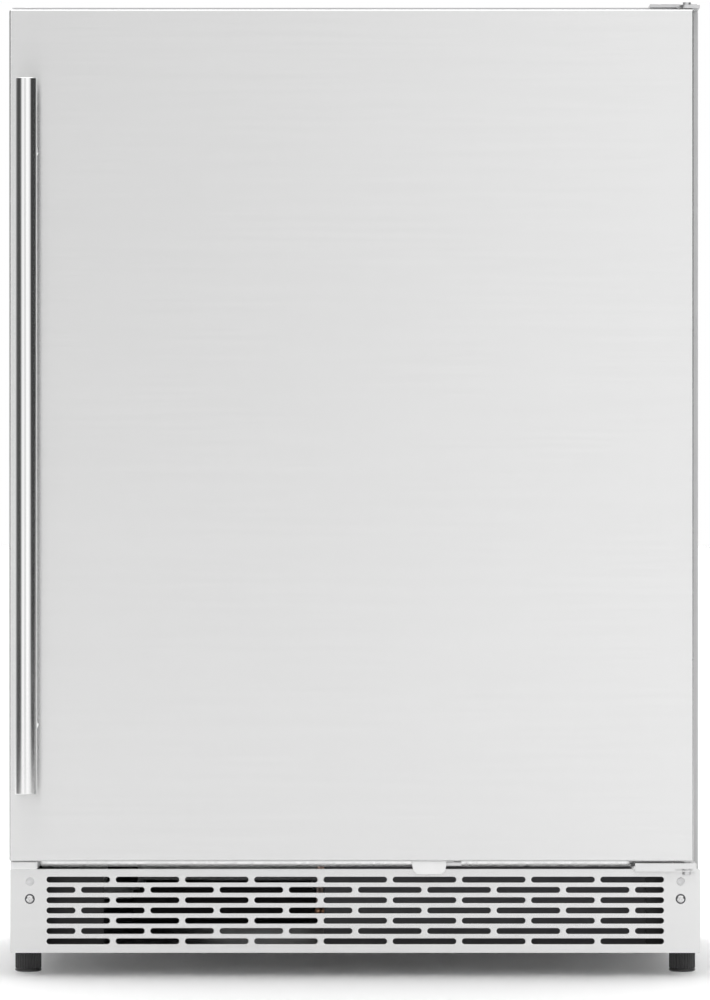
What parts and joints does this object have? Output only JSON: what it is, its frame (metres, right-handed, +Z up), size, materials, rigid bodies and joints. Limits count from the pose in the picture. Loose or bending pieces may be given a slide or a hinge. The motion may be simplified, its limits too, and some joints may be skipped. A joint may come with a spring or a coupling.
{
  "type": "undercounter refrigerator",
  "caption": "Built-in or free-standing undercounter refrigerator with a hinged solid stainless door, bar handle, vented plinth, inner shelves, door bins and levelling feet.",
  "frame": {"origin": "on the floor, at the centre of the footprint", "axes": "+Z up, -Y out of the door's face towards the user, +X to the user's right (the hinge side)"},
  "size_m": [0.598, 0.614, 0.846],
  "materials": {
    "brushed_stainless": "fine horizontal brushing, satin",
    "cabinet_sheet": "light grey painted sheet, satin",
    "bright_stainless": "polished stainless bar",
    "zinc_steel": "zinc-plated steel, semi-gloss",
    "white_plastic": "moulded white plastic",
    "liner_plastic": "vacuum-formed white liner, low gloss",
    "foam": "rigid polyurethane foam",
    "black_plastic": "moulded black plastic",
    "black_steel": "black painted steel, semi-gloss",
    "dark_grey_plastic": "moulded dark grey plastic",
    "rubber_black": "moulded rubber",
    "gasket_grey": "soft light grey gasket extrusion",
    "glass_clear": "clear tempered glass with a green edge",
    "clear_plastic": "clear moulded plastic",
    "lamp_diffuser": "milky diffuser",
    "display_lens": "smoked display window",
    "aluminium_fin": "bare aluminium fins",
    "copper_tube": "bare copper tube"
  },
  "bodies": {
    "cabinet": {"side_panel_left": "cabinet_sheet", "side_panel_right": "cabinet_sheet", "top_panel": "cabinet_sheet", "rear_panel": "cabinet_sheet", "box_floor_panel": "zinc_steel", "insulation_foam": "foam", "inner_liner": "liner_plastic", "bottom_rail": "bright_stainless", "base_pan": "black_steel", "plinth_grille": "brushed_stainless", "pan_screws": "bright_stainless", "plinth_plugs": "zinc_steel", "upper_hinge_plate": "zinc_steel", "hinge_pins": "zinc_steel", "lower_hinge_bracket": "brushed_stainless", "spare_hinge_cover": "white_plastic", "lock_keeper": "zinc_steel", "evaporator_cover": "liner_plastic", "evaporator": "aluminium_fin", "evaporator_fan_motor": "black_plastic", "lamp_lens": "lamp_diffuser", "control_housing": "liner_plastic", "control_display": "display_lens", "compressor": "black_steel", "compressor_mounts": "rubber_black", "condenser": "black_steel", "fan_shroud": "dark_grey_plastic", "condenser_fan_motor": "black_plastic", "refrigerant_tubing": "copper_tube", "drain_pan": "black_plastic", "machine_cover": "zinc_steel", "power_inlet": "black_plastic"},
    "door": {"hinge_bushes": "white_plastic", "door_skin": "brushed_stainless", "door_foam": "foam", "door_liner": "liner_plastic", "door_gasket": "gasket_grey", "handle_bar": "bright_stainless", "handle_posts": "bright_stainless", "lock_housing": "white_plastic"},
    "lock": {"lock_cylinder": "bright_stainless", "lock_cam": "zinc_steel"},
    "bin_lower": {"bin_lower": "clear_plastic"},
    "bin_middle": {"bin_middle": "clear_plastic"},
    "bin_upper": {"bin_upper": "clear_plastic"},
    "shelf_lower": {"shelf_glass_lower": "glass_clear", "shelf_trim_lower": "white_plastic"},
    "shelf_middle": {"shelf_glass_middle": "glass_clear", "shelf_trim_middle": "white_plastic"},
    "shelf_upper": {"shelf_glass_upper": "glass_clear", "shelf_trim_upper": "white_plastic"},
    "button_cooler": {"button_cooler": "dark_grey_plastic"},
    "button_warmer": {"button_warmer": "dark_grey_plastic"},
    "button_lamp": {"button_lamp": "dark_grey_plastic"},
    "evaporator_fan": {"evaporator_fan_blade": "dark_grey_plastic"},
    "condenser_fan": {"condenser_fan_blade": "dark_grey_plastic"},
    "foot_front_left": {"foot_front_left": "rubber_black"},
    "foot_front_right": {"foot_front_right": "rubber_black"},
    "foot_rear_left": {"foot_rear_left": "rubber_black"},
    "foot_rear_right": {"foot_rear_right": "rubber_black"}
  },
  "joints": [
    {"name": "door_hinge", "type": "hinge", "parent": "cabinet", "child": "door", "pos_m": [0.287, -0.247, 0.45], "axis": [0, 0, 1], "range_deg": [0, 115]},
    {"name": "lock_turn", "type": "hinge", "parent": "door", "child": "lock", "pos_m": [0.064, -0.249, 0.1], "axis": [0, 0, 1], "range_deg": [0, 90]},
    {"name": "bin_lower_lift", "type": "slide", "parent": "door", "child": "bin_lower", "axis": [0, 0, 1], "range_m": [0, 0.02]},
    {"name": "bin_middle_lift", "type": "slide", "parent": "door", "child": "bin_middle", "axis": [0, 0, 1], "range_m": [0, 0.02]},
    {"name": "bin_upper_lift", "type": "slide", "parent": "door", "child": "bin_upper", "axis": [0, 0, 1], "range_m": [0, 0.02]},
    {"name": "shelf_lower_slide", "type": "slide", "parent": "cabinet", "child": "shelf_lower", "axis": [0, -1, 0], "range_m": [0, 0.06]},
    {"name": "shelf_middle_slide", "type": "slide", "parent": "cabinet", "child": "shelf_middle", "axis": [0, -1, 0], "range_m": [0, 0.06]},
    {"name": "shelf_upper_slide", "type": "slide", "parent": "cabinet", "child": "shelf_upper", "axis": [0, -1, 0], "range_m": [0, 0.06]},
    {"name": "button_cooler_press", "type": "slide", "parent": "cabinet", "child": "button_cooler", "axis": [0, 1, 0], "range_m": [0, 0.001], "stiffness_N_per_m": 500},
    {"name": "button_warmer_press", "type": "slide", "parent": "cabinet", "child": "button_warmer", "axis": [0, 1, 0], "range_m": [0, 0.001], "stiffness_N_per_m": 500},
    {"name": "button_lamp_press", "type": "slide", "parent": "cabinet", "child": "button_lamp", "axis": [0, 1, 0], "range_m": [0, 0.001], "stiffness_N_per_m": 500},
    {"name": "evaporator_fan_spin", "type": "hinge", "parent": "cabinet", "child": "evaporator_fan", "pos_m": [0, 0.236, 0.7], "axis": [0, -1, 0], "continuous": true},
    {"name": "condenser_fan_spin", "type": "hinge", "parent": "cabinet", "child": "condenser_fan", "pos_m": [0.113, -0.106, 0.055], "axis": [0, -1, 0], "continuous": true},
    {"name": "foot_front_left_screw", "type": "slide", "parent": "cabinet", "child": "foot_front_left", "axis": [0, 0, -1], "range_m": [0, 0.02]},
    {"name": "foot_front_right_screw", "type": "slide", "parent": "cabinet", "child": "foot_front_right", "axis": [0, 0, -1], "range_m": [0, 0.02]},
    {"name": "foot_rear_left_screw", "type": "slide", "parent": "cabinet", "child": "foot_rear_left", "axis": [0, 0, -1], "range_m": [0, 0.02]},
    {"name": "foot_rear_right_screw", "type": "slide", "parent": "cabinet", "child": "foot_rear_right", "axis": [0, 0, -1], "range_m": [0, 0.02]}
  ]
}
